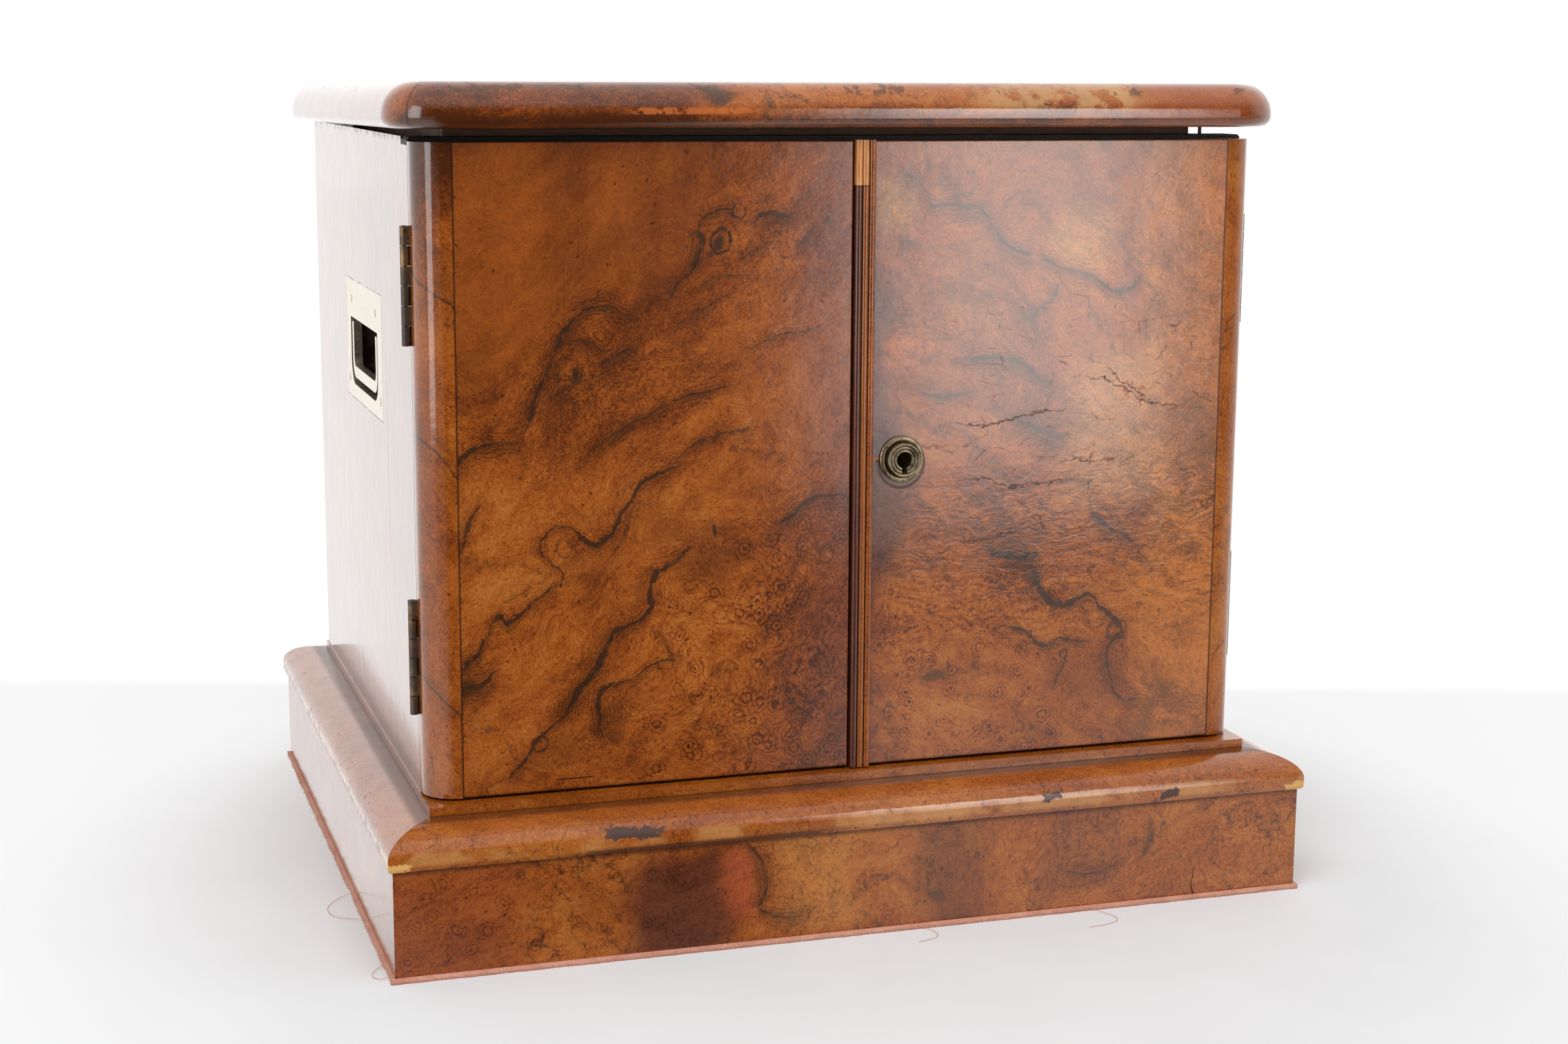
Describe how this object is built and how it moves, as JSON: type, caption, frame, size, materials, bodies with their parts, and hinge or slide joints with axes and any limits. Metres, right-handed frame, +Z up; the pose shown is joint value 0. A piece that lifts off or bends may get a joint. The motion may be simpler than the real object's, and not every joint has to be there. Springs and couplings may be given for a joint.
{
  "type": "cigar chest",
  "caption": "Table-top burr walnut cigar chest: two doors on butt hinges under a lift-up lid, on a moulded plinth with a felt base, with flush side handles.",
  "frame": {"origin": "middle of the felt's underside, on the surface the chest stands on", "axes": "+Z up; the doors face -Y; +X is to the right of someone facing the doors"},
  "size_m": [0.39, 0.336, 0.34],
  "materials": {
    "felt": "worn salmon-red felt, frayed at the edge",
    "walnut": "French-polished walnut, red-brown",
    "burr_veneer": "French-polished burr walnut veneer",
    "astragal_wood": "dark polished walnut reeding",
    "ebonised_rim": "ebonised strip",
    "mahogany": "polished mahogany",
    "pine": "bare pine",
    "cedar": "bare cedar",
    "hinge_brass": "tarnished brass",
    "screw_brass": "tarnished brass",
    "lock_brass": "dull brass",
    "aged_bronze": "dark bronzed brass",
    "handle_brass": "worn pale brass"
  },
  "bodies": {
    "case": {"base_felt": "felt", "plinth_front": "walnut", "plinth_left": "walnut", "plinth_right": "walnut", "plinth_back": "walnut", "base_moulding_front": "walnut", "base_moulding_back": "walnut", "base_moulding_left": "walnut", "base_moulding_right": "walnut", "case_left_side": "burr_veneer", "case_right_side": "burr_veneer", "case_back": "burr_veneer", "front_rim": "ebonised_rim", "case_bottom": "mahogany", "till_front": "mahogany", "till_floor": "mahogany", "plinth_floor": "pine", "corner_blocks": "pine", "till_side_linings": "cedar", "till_end_linings": "cedar", "till_dividers": "cedar", "cupboard_side_linings": "cedar", "cupboard_back_lining": "cedar", "cupboard_shelves": "cedar", "door_hinge_case_leaves": "hinge_brass", "lid_hinge_case_leaves": "hinge_brass", "hinge_pins": "hinge_brass", "lid_rest_posts": "hinge_brass", "case_hinge_screws": "screw_brass", "handle_screws": "screw_brass", "left_handle_plate": "handle_brass", "right_handle_plate": "handle_brass"},
    "lid": {"lid_panel": "burr_veneer", "lid_edge_front": "walnut", "lid_edge_back": "walnut", "lid_edge_left": "walnut", "lid_edge_right": "walnut", "lid_lining": "cedar", "lid_hinge_lid_leaves": "hinge_brass", "lid_hinge_screws": "screw_brass"},
    "left_door": {"left_door_panel": "burr_veneer", "left_door_stile": "burr_veneer", "left_door_hinge_leaves": "hinge_brass", "left_door_hinge_screws": "screw_brass", "strike_plate": "lock_brass", "door_bolt_plates": "lock_brass"},
    "right_door": {"right_door_panel": "burr_veneer", "right_door_stile": "burr_veneer", "astragal": "astragal_wood", "right_door_hinge_leaves": "hinge_brass", "right_door_hinge_screws": "screw_brass", "lock_case": "lock_brass", "lock_cap": "lock_brass", "key_nozzle": "aged_bronze"},
    "lock_bolt": {"lock_bolt": "lock_brass"},
    "upper_bolt": {"upper_door_bolt": "lock_brass"},
    "lower_bolt": {"lower_door_bolt": "lock_brass"},
    "left_bail": {"left_handle_bail": "handle_brass"},
    "right_bail": {"right_handle_bail": "handle_brass"}
  },
  "joints": [
    {"name": "lid_hinge", "type": "hinge", "parent": "case", "child": "lid", "pos_m": [0, 0.14435, 0.31915], "axis": [-1, 0, 0], "range_deg": [0, 95]},
    {"name": "left_door_hinge", "type": "hinge", "parent": "case", "child": "left_door", "pos_m": [-0.17685, -0.1262, 0.19], "axis": [0, 0, -1], "range_deg": [0, 180]},
    {"name": "right_door_hinge", "type": "hinge", "parent": "case", "child": "right_door", "pos_m": [0.17685, -0.1262, 0.19], "axis": [0, 0, 1], "range_deg": [0, 180]},
    {"name": "lock_bolt_slide", "type": "slide", "parent": "right_door", "child": "lock_bolt", "axis": [-1, 0, 0], "range_m": [0, 0.006]},
    {"name": "upper_bolt_slide", "type": "slide", "parent": "left_door", "child": "upper_bolt", "axis": [0, 0, 1], "range_m": [0, 0.008]},
    {"name": "lower_bolt_slide", "type": "slide", "parent": "left_door", "child": "lower_bolt", "axis": [0, 0, -1], "range_m": [0, 0.008]},
    {"name": "left_bail_pivot", "type": "hinge", "parent": "case", "child": "left_bail", "pos_m": [-0.173, -0.002, 0.232], "axis": [0, 1, 0], "range_deg": [0, 90]},
    {"name": "right_bail_pivot", "type": "hinge", "parent": "case", "child": "right_bail", "pos_m": [0.173, -0.002, 0.232], "axis": [0, -1, 0], "range_deg": [0, 90]}
  ]
}
